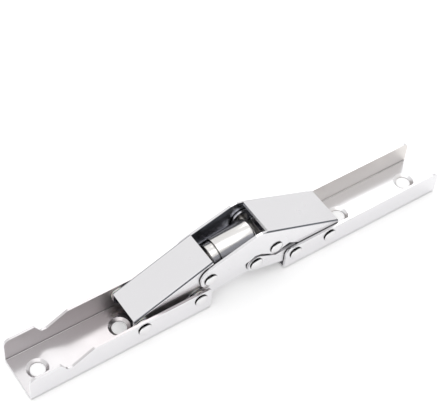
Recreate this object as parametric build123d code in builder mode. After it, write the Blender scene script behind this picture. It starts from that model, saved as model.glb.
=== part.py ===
from build123d import *
from math import acos, atan2, cos, hypot, sin
import os

# A concealed folding hinge for a cabinet door, opened flat. Two sheet channels hold it: the cabinet
# channel on +X and the door channel on -X. A long arm, a cross link, a pair of short links and a door
# link join them, and a strut with a spring inside snaps the hinge open or shut. X runs along the
# channels, Y across them, Z up from the mounting faces. The origin lies midway between the two mouths,
# on the mounting plane. Sizes are in millimetres.

# Channels
channel_length = 76.0
channel_width = 20.0
cabinet_wall_height = 11.2
door_wall_height = 12.0
mouth_gap = 34.0
sheet = 1.0
bend_radius = 1.3
inner_bend_radius = 0.3
web_bend_radius = 0.75
cabinet_mouth_radius = 3.0
cabinet_end_radius = 2.5
door_mouth_radius = 2.0
door_end_radius = 2.5

# Mounting screws, from the mouth of each channel
first_screw = 34.0
screw_pitch = 34.0
screw_radius = 2.9
countersink_radius = 4.2
countersink_angle = 120

# Notch in the door channel's walls that lets the long arm's rivets in when the hinge is folded
notch_end = 12.5
notch_floor = 7.8
notch_floor_length = 2.4
notch_far_slope = 2.4
notch_near_slope = 8.5
notch_top_radius = 1.0
notch_bottom_radius = 1.2

# Fixed pivots, from the mouth of their channel and from the mounting plane
short_link_inset = 4.8
long_arm_inset = 21.2
cross_link_inset = 4.8
door_link_inset = 29.2
cabinet_pivot_height = 7.2
door_pivot_height = 8.1

# Moving pivots, from the fixed pivot that carries them
arm_joint_back = 25.8
arm_joint_rise = 8.5
arm_tip_back = 55.5
arm_tip_rise = 8.9
short_link_back = 18.2
short_link_rise = 4.3
strut_pin_back = 5.4
strut_pin_rise = 4.0

# Rivets and pins
pin_radius = 1.5
rivet_head_radius = 2.65
rivet_head_height = 1.15
rivet_seat_radius = 2.1
rivet_undercut = 0.45
tail_radius = 2.2
tail_height = 0.5
washer_radius = 2.9
sleeve_radius = 2.3
strut_boss_radius = 2.6
running_fit = 0.05
fixed_fit = 0.01
side_gap = 0.15
face_gap = 0.1

# Round ends of the links
arm_end_radius = 4.0
arm_joint_radius = 3.35
arm_tip_radius = 5.4
short_root_radius = 4.2
short_tip_radius = 3.8
cross_end_radius = 3.7
cross_heel_radius = 3.9
cross_joint_radius = 4.0
strut_lobe_radius = 4.2
door_link_tip_radius = 2.6
door_link_root_radius = 3.2

# Corners of the links in side view, as steps along X and Z from the pivot or corner beside them
arm_web_low_corner = (4.3, 5.4)
arm_web_high_corner = (-4.7, 12.2)
arm_shoulder_corner = (-2.9, 0.8)
arm_shoulder_end = (-2.6, -0.2)
arm_tip_centre = (1.0, 1.0)
arm_belly_left_corner = (-12.2, -0.3)
arm_belly_top_corner = (-9.7, 1.2)
arm_belly_right_corner = (-6.9, 0.5)
arm_elbow_corner = (6.2, -1.3)
short_link_root_corner = (-5.4, 4.0)
short_link_tip_corner = (8.9, -0.6)
cross_web_corner = (1.6, -4.0)
cross_heel_centre = (4.8, 0.3)
cross_heel_corner = (3.95, -0.6)
cross_lobe_corner = (-4.6, -2.8)
cover_low_corner = (-3.1, 3.35)
cover_high_corner = (1.1, 8.5)

# Strut
tube_radius = 6.0
tube_wall = 0.75
tube_start = 0.8
tube_end = 16.8
tube_lip = 1.8
tube_round = 1.4
plug_flange = 1.2
eye_radius = 2.3
eye_width = 7.0
plunger_clearance = 0.08
plunger_wall = 0.8
plunger_start = 8.0
plunger_tip_back = 4.2
plunger_round = 0.6
spring_wire_radius = 0.55
spring_clearance = 0.35
spring_turns = 7

# Places that follow from the sizes above
mouth = mouth_gap / 2
wall_inside = channel_width / 2 - sheet
outer_plate_outside = wall_inside - side_gap
outer_plate_inside = outer_plate_outside - sheet
inner_plate_outside = outer_plate_inside - side_gap
inner_plate_inside = inner_plate_outside - sheet
running_hole = pin_radius + running_fit
fixed_hole = pin_radius + fixed_fit


def beside(point, step):
    """Return the side-view point that lies one step along X and Z from another point."""
    return (point[0] + step[0], point[1] + step[1])


short_link_root = (mouth + short_link_inset, cabinet_pivot_height)
long_arm_root = (mouth + long_arm_inset, cabinet_pivot_height)
cross_link_root = (-mouth - cross_link_inset, door_pivot_height)
door_link_root = (-mouth - door_link_inset, door_pivot_height)
arm_joint = beside(long_arm_root, (-arm_joint_back, arm_joint_rise))
arm_tip = beside(long_arm_root, (-arm_tip_back, arm_tip_rise))
short_link_tip = beside(short_link_root, (-short_link_back, short_link_rise))
strut_pin = beside(arm_joint, (-strut_pin_back, strut_pin_rise))

strut_length = hypot(arm_tip[0] - strut_pin[0], arm_tip[1] - strut_pin[1])
strut_angle = atan2(arm_tip[1] - strut_pin[1], arm_tip[0] - strut_pin[0])
strut_direction = Vector(cos(strut_angle), 0, sin(strut_angle))
strut_origin = Vector(strut_pin[0], 0, strut_pin[1])
strut_axis = Axis(strut_origin, strut_direction)
strut_profile_plane = Plane(strut_origin, x_dir=strut_direction, z_dir=(0, -1, 0))
tube_bore_radius = tube_radius - tube_wall
tube_lip_radius = tube_radius - tube_lip
plunger_radius = tube_bore_radius - plunger_clearance
plunger_bore_radius = plunger_radius - plunger_wall
plunger_end = strut_length - plunger_tip_back
plug_seat = tube_start + tube_wall
plug_face = plug_seat + plug_flange


def tangent(here, there):
    """Return the ends of the straight line that leaves one circle and meets the next, both on its left.

    A circle is its centre and its radius. A radius of nought makes it a sharp corner."""
    across = Vector(*there[0]) - Vector(*here[0])
    outward = atan2(across.Y, across.X) - acos((here[1] - there[1]) / across.length)
    normal = Vector(cos(outward), sin(outward))
    return Vector(*here[0]) + normal * here[1], Vector(*there[0]) + normal * there[1]


def draw_outline(*circles):
    """Draw the closed line that wraps round the circles in order, turning left round each."""
    lines = [Line(*tangent(here, there)) for here, there in zip(circles, circles[1:] + circles[:1])]
    for (centre, radius), before, after in zip(circles, lines[-1:] + lines[:-1], lines):
        if radius > 0:
            TangentArc(before @ 1, after @ 0, tangent=before % 1)


def draw_web(start, end):
    """Draw the cut through a link's web, one sheet thick, on the left of the line from start to end."""
    inward = (Vector(*end) - Vector(*start)).normalized().rotate(Axis.Z, 90) * sheet
    Polyline(start, end, Vector(*end) + inward, Vector(*start) + inward, close=True)


def outer_bends(link, start, end):
    """Find the two outer edges where a link's web, from start to end in side view, meets its plates."""
    here, there = [Plane.XZ.from_local_coords(Vector(*point)) for point in (start, end)]
    middle = (here + there) * 0.5

    def is_at_web(edge):
        offset = edge.center() - middle
        return hypot(offset.X, offset.Z) < sheet / 2

    return link.edges().filter_by(Axis(middle, there - here)).filter_by(is_at_web)


def make_channel(side, wall_height, crest, radii, pivots):
    """Make one channel, open at both ends; side is 1 for the cabinet's and -1 for the door's.

    The crest is the top line of its walls, as distances from the mouth and heights."""

    def along(distance, height):
        return (side * (mouth + distance), height)

    with BuildPart() as channel:
        with BuildSketch(Plane.YZ.offset(side * mouth)) as section:
            with Locations((0, wall_height / 2)):
                Rectangle(channel_width, wall_height)
            fillet(section.vertices().group_by(Axis.Y)[0], bend_radius)
        extrude(amount=side * channel_length)
        with BuildSketch(Plane.YZ.offset(side * mouth)) as hollow:
            with Locations((0, sheet + wall_height / 2)):
                Rectangle(2 * wall_inside, wall_height)
            fillet(hollow.vertices().group_by(Axis.Y)[0], inner_bend_radius)
        extrude(amount=side * channel_length, mode=Mode.SUBTRACT)
        with BuildSketch(Plane.XZ):
            with BuildLine():
                top = FilletPolyline(*[along(*point) for point in crest], radius=radii)
                Line(top @ 1, top @ 0)
            make_face()
        extrude(amount=channel_width, both=True, mode=Mode.INTERSECT)
        with BuildSketch(Plane.XZ):
            with Locations(*pivots):
                Circle(fixed_hole)
        extrude(amount=channel_width, both=True, mode=Mode.SUBTRACT)
        with Locations(*[(*along(first_screw + n * screw_pitch, 0), sheet) for n in range(2)]):
            CounterSinkHole(screw_radius, countersink_radius, counter_sink_angle=countersink_angle)
    return channel.part


cabinet_channel = make_channel(
    side=1,
    wall_height=cabinet_wall_height,
    crest=[
        (0, 0),
        (0, cabinet_wall_height),
        (channel_length, cabinet_wall_height),
        (channel_length, 0),
    ],
    radii=[cabinet_mouth_radius, cabinet_end_radius],
    pivots=[short_link_root, long_arm_root],
)

notch_far = channel_length - notch_end
notch_floor_far = notch_far - notch_far_slope
notch_floor_near = notch_floor_far - notch_floor_length
door_channel = make_channel(
    side=-1,
    wall_height=door_wall_height,
    crest=[
        (0, 0),
        (0, door_wall_height),
        (notch_floor_near - notch_near_slope, door_wall_height),
        (notch_floor_near, notch_floor),
        (notch_floor_far, notch_floor),
        (notch_far, door_wall_height),
        (channel_length, door_wall_height),
        (channel_length, 0),
    ],
    radii=[
        door_mouth_radius,
        notch_top_radius,
        notch_bottom_radius,
        notch_bottom_radius,
        notch_top_radius,
        door_end_radius,
    ],
    pivots=[cross_link_root, door_link_root],
)

# Long arm: two plates beside the channel's walls, joined by a web over the cabinet end
web_start = beside(long_arm_root, arm_web_low_corner)
web_end = beside(arm_joint, arm_web_high_corner)
arm_shoulder = beside(web_end, arm_shoulder_corner)
with BuildPart() as long_arm:
    with BuildSketch(Plane.XZ.offset(outer_plate_inside)):
        with BuildLine():
            draw_outline(
                (web_start, 0),
                (web_end, 0),
                (arm_shoulder, 0),
                (beside(arm_shoulder, arm_shoulder_end), 0),
                (beside(arm_tip, arm_tip_centre), arm_tip_radius),
                (beside(arm_joint, arm_belly_left_corner), 0),
                (beside(arm_joint, arm_belly_top_corner), 0),
                (beside(arm_joint, arm_belly_right_corner), 0),
                (arm_joint, arm_joint_radius),
                (beside(arm_joint, arm_elbow_corner), 0),
                (long_arm_root, arm_end_radius),
            )
        make_face()
        with Locations(long_arm_root):
            Circle(running_hole, mode=Mode.SUBTRACT)
        with Locations(arm_joint, arm_tip):
            Circle(fixed_hole, mode=Mode.SUBTRACT)
    extrude(amount=sheet)
    mirror(about=Plane.XZ)
    with BuildSketch(Plane.XZ):
        with BuildLine():
            draw_web(web_start, web_end)
        make_face()
    extrude(amount=outer_plate_outside, both=True)
    fillet(outer_bends(long_arm, web_start, web_end), web_bend_radius)

# Short links: a flat plate on each side, from the channel's mouth to the cross link
short_links = {}
for name, side in (("short_link_near", 1), ("short_link_far", -1)):
    with BuildPart() as short_link:
        with BuildSketch(Plane.XZ.offset(side * outer_plate_inside)):
            with BuildLine():
                draw_outline(
                    (short_link_tip, short_tip_radius),
                    (short_link_root, short_root_radius),
                    (beside(short_link_root, short_link_root_corner), 0),
                    (beside(short_link_tip, short_link_tip_corner), 0),
                )
            make_face()
            with Locations(short_link_root):
                Circle(running_hole, mode=Mode.SUBTRACT)
            with Locations(short_link_tip):
                Circle(fixed_hole, mode=Mode.SUBTRACT)
        extrude(amount=side * sheet)
    short_links[name] = short_link

# Cross link: two inner plates joined by a web below, from the door channel's mouth to the strut's pin
cross_root_end = (cross_link_root, cross_end_radius)
cross_web_end = beside(short_link_tip, cross_web_corner)
cross_heel = beside(short_link_tip, cross_heel_centre)
with BuildPart() as cross_link:
    with BuildSketch(Plane.XZ.offset(inner_plate_inside)):
        with BuildLine():
            draw_outline(
                cross_root_end,
                (cross_web_end, 0),
                (cross_heel, cross_heel_radius),
                (beside(cross_heel, cross_heel_corner), 0),
                (arm_joint, cross_joint_radius),
                (strut_pin, strut_lobe_radius),
                (beside(strut_pin, cross_lobe_corner), 0),
            )
        make_face()
        with Locations(cross_link_root, arm_joint, short_link_tip):
            Circle(running_hole, mode=Mode.SUBTRACT)
        with Locations(strut_pin):
            Circle(strut_boss_radius + fixed_fit, mode=Mode.SUBTRACT)
    extrude(amount=sheet)
    mirror(about=Plane.XZ)
    cross_web = tangent(cross_root_end, (cross_web_end, 0))
    with BuildSketch(Plane.XZ):
        with BuildLine():
            draw_web(*cross_web)
        make_face()
    extrude(amount=inner_plate_outside, both=True)
    fillet(outer_bends(cross_link, *cross_web), web_bend_radius)

# Door link: two inner plates joined by a web above that covers the plunger
cover_start = beside(arm_tip, cover_high_corner)
cover_end = beside(door_link_root, cover_low_corner)
with BuildPart() as door_link:
    with BuildSketch(Plane.XZ.offset(inner_plate_inside)):
        with BuildLine():
            draw_outline(
                (cover_start, 0),
                (cover_end, 0),
                (door_link_root, door_link_root_radius),
                (arm_tip, door_link_tip_radius),
            )
        make_face()
        with Locations(arm_tip, door_link_root):
            Circle(running_hole, mode=Mode.SUBTRACT)
    extrude(amount=sheet)
    mirror(about=Plane.XZ)
    with BuildSketch(Plane.XZ):
        with BuildLine():
            draw_web(cover_start, cover_end)
        make_face()
    extrude(amount=inner_plate_outside, both=True)
    fillet(outer_bends(door_link, cover_start, cover_end), web_bend_radius)


def make_rivets(pivots, head_face, inner_end, tail=False):
    """Make a domed rivet on both sides of each pivot, from its head's face in to its inner end.

    The head's rim stands off the face. With a tail, a flat rim is pressed out at the inner end."""
    with BuildPart() as rivets:
        for pivot in pivots:
            plane = Plane((pivot[0], 0, pivot[1]), x_dir=(1, 0, 0), z_dir=(0, 0, -1))
            with BuildSketch(plane):
                with BuildLine():
                    shank = Polyline(
                        (0, inner_end),
                        (pin_radius, inner_end),
                        (pin_radius, head_face),
                        (rivet_seat_radius, head_face),
                        (rivet_head_radius, head_face + rivet_undercut),
                    )
                    dome = RadiusArc(shank @ 1, (0, head_face + rivet_head_height), -dome_radius)
                    Line(dome @ 1, shank @ 0)
                make_face()
                if tail:
                    with Locations((tail_radius / 2, inner_end + tail_height / 2)):
                        Rectangle(tail_radius, tail_height)
            revolve(axis=Axis((pivot[0], 0, pivot[1]), (0, 1, 0)))
        mirror(about=Plane.XZ)
    return rivets.part


def make_rings(pivot, hole_radius, outer_radius, inside, outside):
    """Make a ring on each side of a pivot, between two distances from the middle."""
    with BuildPart() as rings:
        with BuildSketch(Plane.XZ.offset(inside)):
            with Locations(pivot):
                Circle(outer_radius)
                Circle(hole_radius, mode=Mode.SUBTRACT)
        extrude(amount=outside - inside)
        mirror(about=Plane.XZ)
    return rings.part


dome_height = rivet_head_height - rivet_undercut
dome_radius = (rivet_head_radius**2 + dome_height**2) / (2 * dome_height)
wall_outside = channel_width / 2
channel_tail = outer_plate_inside - face_gap - tail_height
link_tail = inner_plate_inside - face_gap - tail_height
short_link_rivets = make_rivets([short_link_root], wall_outside, channel_tail, tail=True)
long_arm_rivets = make_rivets([long_arm_root], wall_outside, channel_tail, tail=True)
cross_link_pin = make_rivets([cross_link_root], wall_outside, 0)
door_link_rivets = make_rivets([door_link_root], wall_outside, outer_plate_inside)
arm_joint_rivets = make_rivets([arm_joint], outer_plate_outside, link_tail, tail=True)
arm_tip_rivets = make_rivets([arm_tip], outer_plate_outside, link_tail, tail=True)
short_link_tip_rivets = make_rivets([short_link_tip], outer_plate_outside, outer_plate_inside)
cross_link_washers = make_rings(
    cross_link_root, fixed_hole, washer_radius, outer_plate_inside, wall_inside
)
door_link_washers = make_rings(
    door_link_root, fixed_hole, washer_radius, outer_plate_inside, wall_inside
)

# Sleeve that keeps the cross link's plates apart on their pin
with BuildPart() as cross_link_sleeve:
    with BuildSketch(Plane.XZ):
        with Locations(cross_link_root):
            Circle(sleeve_radius)
            Circle(fixed_hole, mode=Mode.SUBTRACT)
    extrude(amount=inner_plate_inside - face_gap, both=True)

# Strut pin: a thin pin through the tube's eye, with a flush boss in each plate of the cross link
with BuildPart() as strut_cross_pin:
    with BuildSketch(Plane.XZ):
        with Locations(strut_pin):
            Circle(pin_radius)
    extrude(amount=inner_plate_outside)
    with BuildSketch(Plane.XZ.offset(inner_plate_inside)):
        with Locations(strut_pin):
            Circle(strut_boss_radius)
    extrude(amount=sheet)
    mirror(about=Plane.XZ)

# Strut tube, with a lip spun in over the end plug and a notch that clears the strut pin
with BuildPart() as strut_tube:
    with BuildSketch(strut_profile_plane):
        with BuildLine():
            Polyline(
                (tube_start, tube_lip_radius),
                (tube_start, tube_radius),
                (tube_end, tube_radius),
                (tube_end, tube_bore_radius),
                (plug_seat, tube_bore_radius),
                (plug_seat, tube_lip_radius),
                close=True,
            )
        make_face()
    revolve(axis=strut_axis)
    rims = strut_tube.edges().filter_by(GeomType.CIRCLE)
    outer_rims = rims.filter_by(lambda rim: abs(rim.radius - tube_radius) < fixed_fit)
    fillet(outer_rims.sort_by(strut_axis)[0], tube_round)
    with BuildSketch(Plane.XZ):
        with Locations(strut_pin):
            Circle(running_hole)
    extrude(amount=channel_width, both=True, mode=Mode.SUBTRACT)

# End plug of the tube, with the eye that turns on the strut pin and passes through the tube's lip
with BuildPart() as strut_plug:
    with BuildSketch(strut_profile_plane):
        with BuildLine():
            Polyline(
                (0, 0),
                (0, tube_lip_radius - fixed_fit),
                (plug_seat, tube_lip_radius - fixed_fit),
                (plug_seat, tube_bore_radius - fixed_fit),
                (plug_face, tube_bore_radius - fixed_fit),
                (plug_face, 0),
                close=True,
            )
        make_face()
    revolve(axis=strut_axis)
    with BuildPart():
        with BuildSketch(Plane.XZ):
            with Locations(strut_pin):
                Circle(eye_radius)
        extrude(amount=eye_width / 2, both=True)
        with BuildSketch(strut_profile_plane):
            with Locations((0, (tube_lip_radius - fixed_fit) / 2)):
                Rectangle(2 * tube_radius, tube_lip_radius - fixed_fit)
        revolve(axis=strut_axis, mode=Mode.INTERSECT)
    with BuildSketch(Plane.XZ):
        with Locations(strut_pin):
            Circle(running_hole)
    extrude(amount=tube_radius, both=True, mode=Mode.SUBTRACT)

# Plunger: a cup that slides in the tube, with its closed end near the long arm's tip
with BuildPart() as strut_plunger:
    with BuildSketch(strut_profile_plane):
        with BuildLine():
            Polyline(
                (plunger_start, plunger_bore_radius),
                (plunger_start, plunger_radius),
                (plunger_end, plunger_radius),
                (plunger_end, tail_radius + fixed_fit),
                (plunger_end - plunger_wall, tail_radius + fixed_fit),
                (plunger_end - plunger_wall, plunger_bore_radius),
                close=True,
            )
        make_face()
    revolve(axis=strut_axis)
    rims = strut_plunger.edges().filter_by(GeomType.CIRCLE)
    outer_rims = rims.filter_by(lambda rim: abs(rim.radius - plunger_radius) < fixed_fit)
    fillet(outer_rims.sort_by(strut_axis)[-1], plunger_round)

# Eye of the plunger, held in its closed end by a rim inside the cup
eye_rim_face = plunger_end - plunger_wall
with BuildPart() as plunger_eye:
    with BuildSketch(strut_profile_plane):
        with BuildLine():
            Polyline(
                (eye_rim_face - plug_flange, 0),
                (eye_rim_face - plug_flange, plunger_bore_radius - fixed_fit),
                (eye_rim_face, plunger_bore_radius - fixed_fit),
                (eye_rim_face, tail_radius),
                (strut_length, tail_radius),
                (strut_length, 0),
                close=True,
            )
        make_face()
    revolve(axis=strut_axis)
    with BuildSketch(Plane.XZ):
        with Locations(arm_tip):
            Circle(eye_radius)
    extrude(amount=eye_width / 2, both=True)
    with BuildSketch(Plane.XZ):
        with Locations(arm_tip):
            Circle(running_hole)
    extrude(amount=tube_radius, both=True, mode=Mode.SUBTRACT)

# Spring inside the tube and the plunger, from the end plug to just short of the plunger's eye
spring_radius = plunger_bore_radius - spring_clearance - spring_wire_radius
spring_start = plug_face + spring_wire_radius + fixed_fit
spring_end = eye_rim_face - plug_flange - spring_wire_radius - face_gap
spring_rise = spring_end - spring_start
spring_pitch = spring_rise / spring_turns
with BuildPart() as strut_spring:
    with BuildLine():
        coil = Helix(
            spring_pitch,
            spring_rise,
            spring_radius,
            center=strut_origin + strut_direction * spring_start,
            direction=strut_direction,
        )
    with BuildSketch(Plane(coil @ 0, z_dir=coil % 0)):
        Circle(spring_wire_radius)
    sweep(path=coil)
print("least gap between the spring's turns", round(spring_pitch - 2 * spring_wire_radius, 2))

parts = {
    "cabinet_channel": cabinet_channel,
    "door_channel": door_channel,
    "long_arm": long_arm.part,
    "short_link_near": short_links["short_link_near"].part,
    "short_link_far": short_links["short_link_far"].part,
    "cross_link": cross_link.part,
    "door_link": door_link.part,
    "short_link_rivets": short_link_rivets,
    "long_arm_rivets": long_arm_rivets,
    "cross_link_pin": cross_link_pin,
    "cross_link_sleeve": cross_link_sleeve.part,
    "cross_link_washers": cross_link_washers,
    "door_link_rivets": door_link_rivets,
    "door_link_washers": door_link_washers,
    "arm_joint_rivets": arm_joint_rivets,
    "arm_tip_rivets": arm_tip_rivets,
    "short_link_tip_rivets": short_link_tip_rivets,
    "strut_cross_pin": strut_cross_pin.part,
    "strut_tube": strut_tube.part,
    "strut_plug": strut_plug.part,
    "strut_plunger": strut_plunger.part,
    "plunger_eye": plunger_eye.part,
    "strut_spring": strut_spring.part,
}
os.makedirs("parts", exist_ok=True)
for name, part in parts.items():
    part.label = name
    export_step(part, f"parts/{name}.step")
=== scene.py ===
"""Looks of a concealed folding hinge: plated sheet channels and links, riveted, with a spring strut."""

from math import cos, radians, sin

import bpy
from bpy.props import FloatProperty, FloatVectorProperty, PointerProperty
from mathutils import Matrix, Vector

bl_info = {
    "name": "Folding Hinge Looks",
    "version": (1, 0, 0),
    "blender": (4, 5, 0),
    "location": "3D View > Sidebar > Hinge",
    "description": "Finishes a concealed folding hinge in plated steel and sets up its studio",
    "category": "Object",
}

MM = 0.001
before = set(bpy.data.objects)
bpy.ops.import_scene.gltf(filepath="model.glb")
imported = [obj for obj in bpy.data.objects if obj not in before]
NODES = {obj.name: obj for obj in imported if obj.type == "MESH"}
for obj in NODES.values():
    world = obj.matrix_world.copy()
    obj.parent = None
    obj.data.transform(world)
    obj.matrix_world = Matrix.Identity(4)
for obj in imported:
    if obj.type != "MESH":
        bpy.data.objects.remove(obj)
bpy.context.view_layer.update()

LINKS = ("long_arm", "short_link_near", "short_link_far", "cross_link", "door_link")
RIVETS = (
    "short_link_rivets",
    "long_arm_rivets",
    "cross_link_pin",
    "door_link_rivets",
    "arm_joint_rivets",
    "arm_tip_rivets",
    "short_link_tip_rivets",
)
WASHERS = ("cross_link_washers", "door_link_washers")
TUBES = ("strut_tube", "strut_plunger")
TURNED = ("strut_plug", "plunger_eye", "strut_cross_pin", "cross_link_sleeve")
WIRE = ("strut_spring",)


def srgb_to_linear(value):
    """Turn a colour written as sRGB hex, such as "C8C4BE", into linear red, green and blue."""
    channels = [int(value[i : i + 2], 16) / 255 for i in (0, 2, 4)]
    return tuple(c / 12.92 if c <= 0.04045 else ((c + 0.055) / 1.055) ** 2.4 for c in channels)


NICKEL_ON_SHEET = "E6E5E7"
# The inside tones below are painted shade: faces that look inwards between the walls are drawn darker for
# the shade that falls there
CABINET_INSIDE_PAINTED_SHADE = "E6E2DF"
DOOR_INSIDE_PAINTED_SHADE = "BEBABB"
LINK_INSIDE_PAINTED_SHADE = "A0A2AA"
NICKEL_ON_TUBE = "E6E4E2"
NICKEL_ON_RIVETS = "E4E3E4"
TURNED_STEEL = "A9A6A2"
SPRING_WIRE = "5E5C5A"
NYLON = "EDEBE6"
# Tone of the painted shade on the door channel's inside, darkest towards the link
LINK_SIDE_PAINTED_SHADE = "C6C1C2"
BEND_TONE = "6E7076"
# Span along X of the painted shade on the door channel's inside
LINK_SIDE_SHADE_SPAN = (-90 * MM, -50 * MM)
CHANNEL_ROUGHNESS = (0.22, 0.26)
LINK_ROUGHNESS = (0.24, 0.28)
CHANNEL_RECESS_ROUGHNESS = 0.4
LINK_RECESS_ROUGHNESS = 0.25
# Painted shade in the narrow gaps between pieces: its tone, its reach, and the occlusion levels where it is
# full and where it fades out
CREVICE_PAINTED_SHADE = "34322F"
CREVICE_REACH = 0.9 * MM
CREVICE_CLOSED = 0.5
CREVICE_OPEN = 0.85
PAPER_GLOW = 0.22
TENT_WHITE = 0.97
ROOM_GREY = 0.05


class HingeSizes(bpy.types.PropertyGroup):
    """Sizes of the finish that a user may change."""

    edge_radius: FloatProperty(
        name="Sheet edge radius",
        description="Rounding of the pressed sheet's edges after tumbling and plating",
        default=0.12 * MM,
        min=0.01 * MM,
        max=0.4 * MM,
        subtype="DISTANCE",
        unit="LENGTH",
    )
    rivet_edge_radius: FloatProperty(
        name="Rivet edge radius",
        description="Rounding of the rivet heads' rims",
        default=0.15 * MM,
        min=0.01 * MM,
        max=0.4 * MM,
        subtype="DISTANCE",
        unit="LENGTH",
    )
    camera_distance: FloatProperty(
        name="Camera distance",
        description="Distance from the camera to the point that it looks at",
        default=481 * MM,
        min=0.1,
        subtype="DISTANCE",
        unit="LENGTH",
    )
    lamp_power: FloatProperty(
        name="Lamp power",
        description="Power of the large overhead lamp, in watts",
        default=1.2,
        min=0.0,
    )


class HingeColours(bpy.types.PropertyGroup):
    """Colours that a user may change, as linear values."""

    sheet: FloatVectorProperty(
        name="Plated sheet",
        description="Colour of the plated channels and links",
        default=srgb_to_linear(NICKEL_ON_SHEET),
        subtype="COLOR",
        min=0.0,
        max=1.0,
    )
    tube: FloatVectorProperty(
        name="Plated tube",
        description="Colour of the strut's tube and plunger",
        default=srgb_to_linear(NICKEL_ON_TUBE),
        subtype="COLOR",
        min=0.0,
        max=1.0,
    )
    rivet: FloatVectorProperty(
        name="Plated rivets",
        description="Colour of the rivets and the pin",
        default=srgb_to_linear(NICKEL_ON_RIVETS),
        subtype="COLOR",
        min=0.0,
        max=1.0,
    )
    washer: FloatVectorProperty(
        name="Nylon washers",
        description="Colour of the spacer washers",
        default=srgb_to_linear(NYLON),
        subtype="COLOR",
        min=0.0,
        max=1.0,
    )
    backdrop: FloatVectorProperty(
        name="Backdrop",
        description="Colour of the studio floor",
        default=srgb_to_linear("F4F4F4"),
        subtype="COLOR",
        min=0.0,
        max=1.0,
    )


def add_node(tree, kind, inputs=None, **settings):
    """Add a node, set its settings and set or link its inputs; an output given as input is linked."""
    node = tree.nodes.new(kind)
    for name, value in settings.items():
        setattr(node, name, value)
    for name, value in (inputs or {}).items():
        if isinstance(value, bpy.types.NodeSocket):
            tree.links.new(value, node.inputs[name])
        else:
            node.inputs[name].default_value = value
    return node


def new_material(name):
    """Return an empty node material and its tree."""
    material = bpy.data.materials.new(name)
    material.use_nodes = True
    material.node_tree.nodes.clear()
    return material, material.node_tree


def set_stops(ramp, stops):
    """Give a colour ramp these (place, grey value) stops."""
    elements = ramp.color_ramp.elements
    while len(elements) > len(stops):
        elements.remove(elements[-1])
    while len(elements) < len(stops):
        elements.new(1.0)
    for element, (place, grey) in zip(elements, stops):
        element.position = place
        element.color = (grey, grey, grey, 1.0)
    return ramp


def paint_crevice_shade(tree, clean):
    """Darken a colour where another face stands close by.

    Painted shade: a thin dark line is painted round each piece in the narrow gaps between the pieces, where
    shade falls."""
    gap = add_node(tree, "ShaderNodeAmbientOcclusion", {"Distance": CREVICE_REACH}, samples=8)
    openness = add_node(
        tree,
        "ShaderNodeMapRange",
        {"Value": gap.outputs["AO"], "From Min": CREVICE_CLOSED, "From Max": CREVICE_OPEN},
        interpolation_type="SMOOTHSTEP",
    )
    crevice_shade = add_node(
        tree,
        "ShaderNodeMix",
        {"Factor": openness.outputs["Result"], "A": (*srgb_to_linear(CREVICE_PAINTED_SHADE), 1.0), "B": clean},
        data_type="RGBA",
    )
    return crevice_shade.outputs["Result"]


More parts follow.
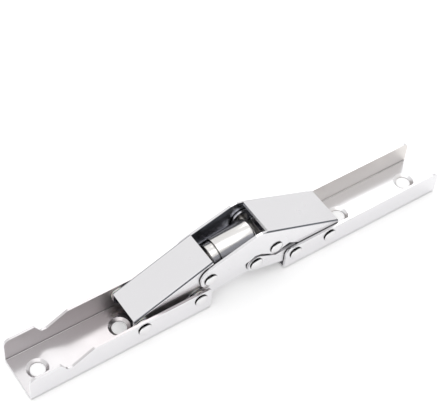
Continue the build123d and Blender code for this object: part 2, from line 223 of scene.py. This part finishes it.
def plated_sheet(
    name, colour, recess_painted_shade, roughness_range, recess_roughness, shade_span=None, bend_colour=None
):
    """Bright nickel plate on cold-rolled steel sheet, pressed to shape.

    A shade span is where along X the painted shade on the inside begins and is darkest. A bend colour is the
    tone of the tight outer bends and edges."""
    material, tree = new_material(name)
    place = add_node(tree, "ShaderNodeTexCoord")
    rolling = add_node(
        tree,
        "ShaderNodeMapping",
        {"Vector": place.outputs["Object"], "Scale": (1 / (14 * MM), 1 / (0.22 * MM), 1 / (0.22 * MM))},
    )
    # Rolling marks run along the strip and draw the reflections out into faint streaks
    streaks = add_node(
        tree,
        "ShaderNodeTexNoise",
        {"Vector": rolling.outputs["Vector"], "Scale": 1.0, "Detail": 3.0, "Roughness": 0.55},
    )
    # The sheet is never quite flat after pressing, so broad reflections bend a little
    waves = add_node(
        tree,
        "ShaderNodeTexNoise",
        {"Vector": place.outputs["Object"], "Scale": 1 / (9 * MM), "Detail": 1.0},
    )
    # Plating clouds slightly from place to place
    clouds = add_node(
        tree,
        "ShaderNodeTexNoise",
        {"Vector": place.outputs["Object"], "Scale": 1 / (5 * MM), "Detail": 2.0, "Roughness": 0.5},
    )
    roughness = add_node(
        tree,
        "ShaderNodeMapRange",
        {
            "Value": clouds.outputs["Fac"],
            "From Min": 0.2,
            "From Max": 0.8,
            "To Min": roughness_range[0],
            "To Max": roughness_range[1],
        },
    )
    wave_bump = add_node(
        tree,
        "ShaderNodeBump",
        {"Height": waves.outputs["Fac"], "Strength": 0.2, "Distance": 0.03 * MM},
    )
    bump = add_node(
        tree,
        "ShaderNodeBump",
        {
            "Height": streaks.outputs["Fac"],
            "Strength": 0.06,
            "Distance": 0.01 * MM,
            "Normal": wave_bump.outputs["Normal"],
        },
    )
    # Faces that look inwards between the walls get their own roughness and a darker tone; the darker tone is
    # painted shade for the shade between the walls
    side = add_node(tree, "ShaderNodeSeparateXYZ", {"Vector": place.outputs["Object"]})
    facing = add_node(tree, "ShaderNodeSeparateXYZ", {"Vector": place.outputs["Normal"]})
    hand = add_node(tree, "ShaderNodeMath", {0: side.outputs["Y"]}, operation="SIGN")
    outward = add_node(
        tree,
        "ShaderNodeMath",
        {0: hand.outputs["Value"], 1: facing.outputs["Y"]},
        operation="MULTIPLY",
    )
    recess = add_node(
        tree,
        "ShaderNodeMapRange",
        {"Value": outward.outputs["Value"], "From Min": -0.2, "From Max": -0.8},
        interpolation_type="SMOOTHSTEP",
    )
    finish = add_node(
        tree,
        "ShaderNodeMix",
        {"Factor": recess.outputs["Result"], "A": roughness.outputs["Result"], "B": recess_roughness},
    )
    tone = add_node(
        tree,
        "ShaderNodeMix",
        {"Factor": recess.outputs["Result"], "A": (*colour, 1.0), "B": (*recess_painted_shade, 1.0)},
        data_type="RGBA",
    )
    plate = tone.outputs["Result"]
    if shade_span is not None:
        # Painted shade: the channel's floor and inward faces are drawn darker, most towards the link, for
        # the dim reflection of the link's cover
        toward_link = add_node(
            tree,
            "ShaderNodeMapRange",
            {"Value": side.outputs["X"], "From Min": shade_span[0], "From Max": shade_span[1], "To Min": 0.35},
            interpolation_type="SMOOTHSTEP",
        )
        floor_only = add_node(
            tree,
            "ShaderNodeMapRange",
            {"Value": facing.outputs["Z"], "From Min": 0.5, "From Max": 0.9},
            interpolation_type="SMOOTHSTEP",
        )
        inside = add_node(
            tree,
            "ShaderNodeMath",
            {0: floor_only.outputs["Result"], 1: recess.outputs["Result"]},
            operation="MAXIMUM",
        )
        shade_amount = add_node(
            tree,
            "ShaderNodeMath",
            {0: toward_link.outputs["Result"], 1: inside.outputs["Value"]},
            operation="MULTIPLY",
        )
        shaded_inside = add_node(
            tree,
            "ShaderNodeMix",
            {"Factor": shade_amount.outputs["Value"], "A": plate, "B": (*srgb_to_linear(LINK_SIDE_PAINTED_SHADE), 1.0)},
            data_type="RGBA",
        )
        plate = shaded_inside.outputs["Result"]
    if bend_colour is not None:
        # A tight bend mirrors the dark gap of the tent in a strip too thin to show, so it is drawn
        # as a darker tone on the faces that look neither up nor straight sideways
        leaning = add_node(
            tree,
            "ShaderNodeMapRange",
            {"Value": outward.outputs["Value"], "From Min": 0.15, "From Max": 0.4},
            interpolation_type="SMOOTHSTEP",
        )
        not_sideways = add_node(
            tree,
            "ShaderNodeMapRange",
            {"Value": outward.outputs["Value"], "From Min": 0.97, "From Max": 0.8},
            interpolation_type="SMOOTHSTEP",
        )
        bend = add_node(
            tree,
            "ShaderNodeMath",
            {0: leaning.outputs["Result"], 1: not_sideways.outputs["Result"]},
            operation="MULTIPLY",
        )
        bent = add_node(
            tree,
            "ShaderNodeMix",
            {"Factor": bend.outputs["Value"], "A": plate, "B": (*bend_colour, 1.0)},
            data_type="RGBA",
        )
        plate = bent.outputs["Result"]
    # The base colour carries painted shade in the crevices between pieces
    shader = add_node(
        tree,
        "ShaderNodeBsdfPrincipled",
        {
            "Base Color": paint_crevice_shade(tree, plate),
            "Metallic": 1.0,
            "Roughness": finish.outputs["Result"],
            "Normal": bump.outputs["Normal"],
        },
    )
    add_node(tree, "ShaderNodeOutputMaterial", {"Surface": shader.outputs["BSDF"]})
    return material


def plated_tube(colour):
    """Bright nickel plate on drawn steel tube, polished in the lathe."""
    material, tree = new_material("nickel_plated_drawn_tube")
    place = add_node(tree, "ShaderNodeTexCoord")
    # Polishing rings run round the tube and broaden its highlight along its length
    rings = add_node(
        tree,
        "ShaderNodeMapping",
        {
            "Vector": place.outputs["Object"],
            "Rotation": (0.0, radians(8.4), 0.0),
            "Scale": (1 / (0.12 * MM), 1 / (12 * MM), 1 / (12 * MM)),
        },
    )
    lines = add_node(
        tree,
        "ShaderNodeTexNoise",
        {"Vector": rings.outputs["Vector"], "Scale": 1.0, "Detail": 3.0, "Roughness": 0.5},
    )
    roughness = add_node(
        tree,
        "ShaderNodeMapRange",
        {"Value": lines.outputs["Fac"], "From Min": 0.3, "From Max": 0.7, "To Min": 0.20, "To Max": 0.26},
    )
    bump = add_node(
        tree,
        "ShaderNodeBump",
        {"Height": lines.outputs["Fac"], "Strength": 0.05, "Distance": 0.006 * MM},
    )
    # The base colour carries painted shade in the crevices between pieces
    shader = add_node(
        tree,
        "ShaderNodeBsdfPrincipled",
        {
            "Base Color": paint_crevice_shade(tree, (*colour, 1.0)),
            "Metallic": 1.0,
            "Roughness": roughness.outputs["Result"],
            "Normal": bump.outputs["Normal"],
        },
    )
    add_node(tree, "ShaderNodeOutputMaterial", {"Surface": shader.outputs["BSDF"]})
    return material


def upset_rivet(colour):
    """Nickel-plated rivet wire with heads formed in a die."""
    material, tree = new_material("nickel_plated_rivet")
    place = add_node(tree, "ShaderNodeTexCoord")
    # The die leaves shallow dents that break up the small highlight on each head
    dents = add_node(
        tree,
        "ShaderNodeTexVoronoi",
        {"Vector": place.outputs["Object"], "Scale": 1 / (0.9 * MM), "Smoothness": 1.0},
        feature="SMOOTH_F1",
    )
    grit = add_node(
        tree,
        "ShaderNodeTexNoise",
        {"Vector": place.outputs["Object"], "Scale": 1 / (0.3 * MM), "Detail": 2.0},
    )
    roughness = add_node(
        tree,
        "ShaderNodeMapRange",
        {"Value": grit.outputs["Fac"], "From Min": 0.3, "From Max": 0.7, "To Min": 0.16, "To Max": 0.26},
    )
    bump = add_node(
        tree,
        "ShaderNodeBump",
        {"Height": dents.outputs["Distance"], "Strength": 0.15, "Distance": 0.05 * MM},
    )
    # The base colour carries painted shade in the crevices between pieces
    shader = add_node(
        tree,
        "ShaderNodeBsdfPrincipled",
        {
            "Base Color": paint_crevice_shade(tree, (*colour, 1.0)),
            "Metallic": 1.0,
            "Roughness": roughness.outputs["Result"],
            "Normal": bump.outputs["Normal"],
        },
    )
    add_node(tree, "ShaderNodeOutputMaterial", {"Surface": shader.outputs["BSDF"]})
    return material


def turned_steel(name, colour, roughness_range, line_spacing):
    """Bare steel, turned or drawn, under a film of oil."""
    material, tree = new_material(name)
    place = add_node(tree, "ShaderNodeTexCoord")
    # Tool marks scatter the highlight, and the oil darkens the metal in clouds
    marks = add_node(
        tree,
        "ShaderNodeTexNoise",
        {"Vector": place.outputs["Object"], "Scale": 1 / line_spacing, "Detail": 4.0, "Roughness": 0.6},
    )
    tone = set_stops(
        add_node(tree, "ShaderNodeValToRGB", {"Fac": marks.outputs["Fac"]}), ((0.3, 0.75), (0.7, 1.0))
    )
    tinted = add_node(
        tree,
        "ShaderNodeMix",
        {"Factor": 1.0, "A": (*colour, 1.0), "B": tone.outputs["Color"]},
        data_type="RGBA",
        blend_type="MULTIPLY",
    )
    roughness = add_node(
        tree,
        "ShaderNodeMapRange",
        {
            "Value": marks.outputs["Fac"],
            "From Min": 0.3,
            "From Max": 0.7,
            "To Min": roughness_range[0],
            "To Max": roughness_range[1],
        },
    )
    shader = add_node(
        tree,
        "ShaderNodeBsdfPrincipled",
        {
            "Base Color": tinted.outputs["Result"],
            "Metallic": 1.0,
            "Roughness": roughness.outputs["Result"],
        },
    )
    add_node(tree, "ShaderNodeOutputMaterial", {"Surface": shader.outputs["BSDF"]})
    return material


def moulded_nylon(colour):
    """Natural nylon 6, injection moulded, with a fine matt grain from the mould."""
    material, tree = new_material("moulded_nylon")
    place = add_node(tree, "ShaderNodeTexCoord")
    # The mould's spark-eroded grain keeps the gloss soft and even
    grain = add_node(
        tree,
        "ShaderNodeTexNoise",
        {"Vector": place.outputs["Object"], "Scale": 1 / (0.15 * MM), "Detail": 2.0},
    )
    bump = add_node(
        tree,
        "ShaderNodeBump",
        {"Height": grain.outputs["Fac"], "Strength": 0.2, "Distance": 0.02 * MM},
    )
    shader = add_node(
        tree,
        "ShaderNodeBsdfPrincipled",
        {
            "Base Color": (*colour, 1.0),
            "Roughness": 0.42,
            "IOR": 1.53,
            "Subsurface Weight": 0.15,
            "Subsurface Scale": 1.0 * MM,
            "Normal": bump.outputs["Normal"],
        },
    )
    add_node(tree, "ShaderNodeOutputMaterial", {"Surface": shader.outputs["BSDF"]})
    return material


def studio_floor(colour):
    """Seamless paper sweep that looks white to the camera and keeps a soft shadow."""
    material, tree = new_material("studio_paper")
    light_path = add_node(tree, "ShaderNodeLightPath")
    place = add_node(tree, "ShaderNodeTexCoord")
    # Paper fibres only just stir the tone under the object
    fibres = add_node(
        tree,
        "ShaderNodeTexNoise",
        {"Vector": place.outputs["Object"], "Scale": 1 / (2 * MM), "Detail": 2.0},
    )
    bump = add_node(
        tree,
        "ShaderNodeBump",
        {"Height": fibres.outputs["Fac"], "Strength": 0.05, "Distance": 0.05 * MM},
    )
    paper = add_node(
        tree,
        "ShaderNodeBsdfDiffuse",
        {"Color": (*colour, 1.0), "Normal": bump.outputs["Normal"]},
    )
    glow = add_node(tree, "ShaderNodeEmission", {"Color": (1.0, 1.0, 1.0, 1.0), "Strength": PAPER_GLOW})
    lit = add_node(tree, "ShaderNodeAddShader")
    tree.links.new(paper.outputs["BSDF"], lit.inputs[0])
    tree.links.new(glow.outputs["Emission"], lit.inputs[1])
    mirrored = add_node(
        tree,
        "ShaderNodeMath",
        {0: light_path.outputs["Is Camera Ray"], 1: light_path.outputs["Is Glossy Ray"]},
        operation="MAXIMUM",
    )
    seen = add_node(
        tree,
        "ShaderNodeMath",
        {0: mirrored.outputs["Value"], 1: light_path.outputs["Is Transmission Ray"]},
        operation="MAXIMUM",
    )
    surface = add_node(tree, "ShaderNodeMixShader", {"Fac": seen.outputs["Value"]})
    tree.links.new(paper.outputs["BSDF"], surface.inputs[1])
    tree.links.new(lit.outputs["Shader"], surface.inputs[2])
    add_node(tree, "ShaderNodeOutputMaterial", {"Surface": surface.outputs["Shader"]})
    return material


def dress(names, material, edge_radius):
    """Give CAD nodes their material and round their sharp edges."""
    for name in names:
        piece = NODES[name]
        piece.data.materials.clear()
        piece.data.materials.append(material)
        weld = piece.modifiers.new("weld", "WELD")
        weld.merge_threshold = 0.001 * MM
        edges = piece.modifiers.new("edges", "BEVEL")
        edges.width = edge_radius
        edges.segments = 2
        edges.limit_method = "ANGLE"
        edges.angle_limit = radians(40)
        edges.harden_normals = True


class HINGE_OT_channels(bpy.types.Operator):
    """Finish the two channels in plated sheet"""

    bl_idname = "hinge.channels"
    bl_label = "Finish channels"

    def execute(self, context):
        sizes, colours = context.scene.hinge_sizes, context.scene.hinge_colours
        cabinet_plate = plated_sheet(
            "nickel_plated_cabinet_channel",
            colours.sheet,
            srgb_to_linear(CABINET_INSIDE_PAINTED_SHADE),
            CHANNEL_ROUGHNESS,
            CHANNEL_RECESS_ROUGHNESS,
        )
        # The door channel carries painted shade on its inside, darkest towards the link
        door_plate = plated_sheet(
            "nickel_plated_door_channel",
            colours.sheet,
            srgb_to_linear(DOOR_INSIDE_PAINTED_SHADE),
            CHANNEL_ROUGHNESS,
            CHANNEL_RECESS_ROUGHNESS,
            LINK_SIDE_SHADE_SPAN,
        )
        dress(("cabinet_channel",), cabinet_plate, sizes.edge_radius)
        dress(("door_channel",), door_plate, sizes.edge_radius)
        return {"FINISHED"}


class HINGE_OT_links(bpy.types.Operator):
    """Finish the long arm, the cross link, the short links and the door link"""

    bl_idname = "hinge.links"
    bl_label = "Finish links"

    def execute(self, context):
        sizes, colours = context.scene.hinge_sizes, context.scene.hinge_colours
        plate = plated_sheet(
            "nickel_plated_links",
            colours.sheet,
            srgb_to_linear(LINK_INSIDE_PAINTED_SHADE),
            LINK_ROUGHNESS,
            LINK_RECESS_ROUGHNESS,
            bend_colour=srgb_to_linear(BEND_TONE),
        )
        dress(LINKS, plate, sizes.edge_radius)
        return {"FINISHED"}


class HINGE_OT_rivets(bpy.types.Operator):
    """Finish the rivets and the cross link's pin"""

    bl_idname = "hinge.rivets"
    bl_label = "Finish rivets"

    def execute(self, context):
        sizes, colours = context.scene.hinge_sizes, context.scene.hinge_colours
        dress(RIVETS, upset_rivet(colours.rivet), sizes.rivet_edge_radius)
        return {"FINISHED"}


class HINGE_OT_washers(bpy.types.Operator):
    """Finish the spacer washers in nylon"""

    bl_idname = "hinge.washers"
    bl_label = "Finish washers"

    def execute(self, context):
        sizes, colours = context.scene.hinge_sizes, context.scene.hinge_colours
        dress(WASHERS, moulded_nylon(colours.washer), sizes.edge_radius)
        return {"FINISHED"}


class HINGE_OT_strut(bpy.types.Operator):
    """Finish the strut: its tube, plunger, end pieces and spring"""

    bl_idname = "hinge.strut"
    bl_label = "Finish strut"

    def execute(self, context):
        sizes, colours = context.scene.hinge_sizes, context.scene.hinge_colours
        dress(TUBES, plated_tube(colours.tube), sizes.edge_radius)
        turned = turned_steel("oiled_turned_steel", srgb_to_linear(TURNED_STEEL), (0.3, 0.45), 0.4 * MM)
        dress(TURNED, turned, sizes.edge_radius)
        wire = turned_steel("oiled_spring_wire", srgb_to_linear(SPRING_WIRE), (0.35, 0.5), 0.3 * MM)
        dress(WIRE, wire, 0.02 * MM)
        return {"FINISHED"}


TENT_FRONT = Vector((0.35, -0.94, 0.0)).normalized()
GAP_UPWARD = Vector((0.5, 0.0, 0.87)).normalized()
CAMERA_TARGET = Vector((2.76 * MM, 15.57 * MM, 23.59 * MM))
CAMERA_AZIMUTH = radians(-38.644)
CAMERA_ELEVATION = radians(50.143)
CAMERA_ROLL = radians(-5.751)
CAMERA_LENS = 104.39
SENSOR_WIDTH = 36.0


class HINGE_OT_stage(bpy.types.Operator):
    """Set up the paper floor, the soft lamps and the camera"""

    bl_idname = "hinge.stage"
    bl_label = "Set up stage"

    def execute(self, context):
        scene = context.scene
        self.make_floor(scene)
        self.make_world(scene)
        self.make_lamps(scene)
        self.make_camera(scene)
        scene.view_settings.view_transform = "Standard"
        return {"FINISHED"}

    def make_floor(self, scene):
        reach = 4.0
        corners = [(-reach, -reach, 0), (reach, -reach, 0), (reach, reach, 0), (-reach, reach, 0)]
        mesh = bpy.data.meshes.new("paper_floor")
        mesh.from_pydata(corners, [], [(0, 1, 2, 3)])
        mesh.materials.append(studio_floor(scene.hinge_colours.backdrop))
        floor = bpy.data.objects.new("paper_floor", mesh)
        floor.location.z = -0.05 * MM
        scene.collection.objects.link(floor)

    def make_world(self, scene):
        world = bpy.data.worlds.new("studio_world")
        world.use_nodes = True
        tree = world.node_tree
        tree.nodes.clear()
        light_path = add_node(tree, "ShaderNodeLightPath")
        place = add_node(tree, "ShaderNodeTexCoord")
        # The white tent is open at the front above the table, and the dim room beyond the gap draws
        # dark lines along the metal's bends and round the rivet heads
        toward_front = add_node(
            tree,
            "ShaderNodeVectorMath",
            {0: place.outputs["Generated"], 1: TENT_FRONT},
            operation="DOT_PRODUCT",
        )
        front = add_node(
            tree,
            "ShaderNodeMapRange",
            {"Value": toward_front.outputs["Value"], "From Min": 0.55, "From Max": 0.8},
            interpolation_type="SMOOTHSTEP",
        )
        height = add_node(
            tree,
            "ShaderNodeVectorMath",
            {0: place.outputs["Generated"], 1: GAP_UPWARD},
            operation="DOT_PRODUCT",
        )
        low = add_node(
            tree,
            "ShaderNodeMapRange",
            {"Value": height.outputs["Value"], "From Min": 0.72, "From Max": 0.47},
            interpolation_type="SMOOTHSTEP",
        )
        gap = add_node(
            tree,
            "ShaderNodeMath",
            {0: front.outputs["Result"], 1: low.outputs["Result"]},
            operation="MULTIPLY",
        )
        tent = set_stops(
            add_node(tree, "ShaderNodeValToRGB", {"Fac": gap.outputs["Value"]}),
            ((0.0, TENT_WHITE), (1.0, ROOM_GREY)),
        )
        lighting = add_node(
            tree, "ShaderNodeBackground", {"Color": tent.outputs["Color"], "Strength": 1.0}
        )
        seen = add_node(tree, "ShaderNodeBackground", {"Color": (1, 1, 1, 1), "Strength": 1.0})
        surface = add_node(tree, "ShaderNodeMixShader", {"Fac": light_path.outputs["Is Camera Ray"]})
        tree.links.new(lighting.outputs["Background"], surface.inputs[1])
        tree.links.new(seen.outputs["Background"], surface.inputs[2])
        add_node(tree, "ShaderNodeOutputWorld", {"Surface": surface.outputs["Shader"]})
        scene.world = world

    def make_lamps(self, scene):
        lamps = (
            ("overhead_softbox", Vector((-0.15, -0.25, 0.9)), 0.7, 1.0),
            ("side_softbox", Vector((-0.8, -0.4, 0.35)), 0.5, 0.35),
            ("back_softbox", Vector((0.4, 0.5, 0.77)), 0.4, 0.6),
        )
        for name, place, size, share in lamps:
            lamp = bpy.data.lights.new(name, "AREA")
            lamp.size = size
            lamp.energy = scene.hinge_sizes.lamp_power * share
            stand = bpy.data.objects.new(name, lamp)
            stand.location = place
            stand.rotation_euler = (-place).to_track_quat("-Z", "Y").to_euler()
            scene.collection.objects.link(stand)

    def make_camera(self, scene):
        toward_camera = Vector(
            (
                cos(CAMERA_ELEVATION) * sin(CAMERA_AZIMUTH),
                -cos(CAMERA_ELEVATION) * cos(CAMERA_AZIMUTH),
                sin(CAMERA_ELEVATION),
            )
        )
        data = bpy.data.cameras.new("camera")
        data.lens = CAMERA_LENS
        data.sensor_width = SENSOR_WIDTH
        camera = bpy.data.objects.new("camera", data)
        aim = (-toward_camera).to_track_quat("-Z", "Y").to_matrix().to_4x4()
        roll = Matrix.Rotation(-CAMERA_ROLL, 4, "Z")
        place = Matrix.Translation(CAMERA_TARGET + toward_camera * scene.hinge_sizes.camera_distance)
        camera.matrix_world = place @ aim @ roll
        scene.collection.objects.link(camera)
        scene.camera = camera


OPERATORS = (
    HINGE_OT_channels,
    HINGE_OT_links,
    HINGE_OT_rivets,
    HINGE_OT_washers,
    HINGE_OT_strut,
    HINGE_OT_stage,
)


class HINGE_PT_panel(bpy.types.Panel):
    """Lists the finishing steps and their sizes and colours"""

    bl_idname = "HINGE_PT_panel"
    bl_label = "Folding hinge"
    bl_space_type = "VIEW_3D"
    bl_region_type = "UI"
    bl_category = "Hinge"

    def draw(self, context):
        for group in (context.scene.hinge_sizes, context.scene.hinge_colours):
            for name in group.__annotations__:
                self.layout.prop(group, name)
        for operator in OPERATORS:
            self.layout.operator(operator.bl_idname)


CLASSES = (HingeSizes, HingeColours, *OPERATORS, HINGE_PT_panel)


def register():
    for cls in CLASSES:
        bpy.utils.register_class(cls)
    bpy.types.Scene.hinge_sizes = PointerProperty(type=HingeSizes)
    bpy.types.Scene.hinge_colours = PointerProperty(type=HingeColours)


def unregister():
    del bpy.types.Scene.hinge_colours
    del bpy.types.Scene.hinge_sizes
    for cls in reversed(CLASSES):
        bpy.utils.unregister_class(cls)


def main():
    register()
    bpy.ops.hinge.channels()
    bpy.ops.hinge.links()
    bpy.ops.hinge.rivets()
    bpy.ops.hinge.washers()
    bpy.ops.hinge.strut()
    bpy.ops.hinge.stage()


if __name__ == "__main__":
    main()
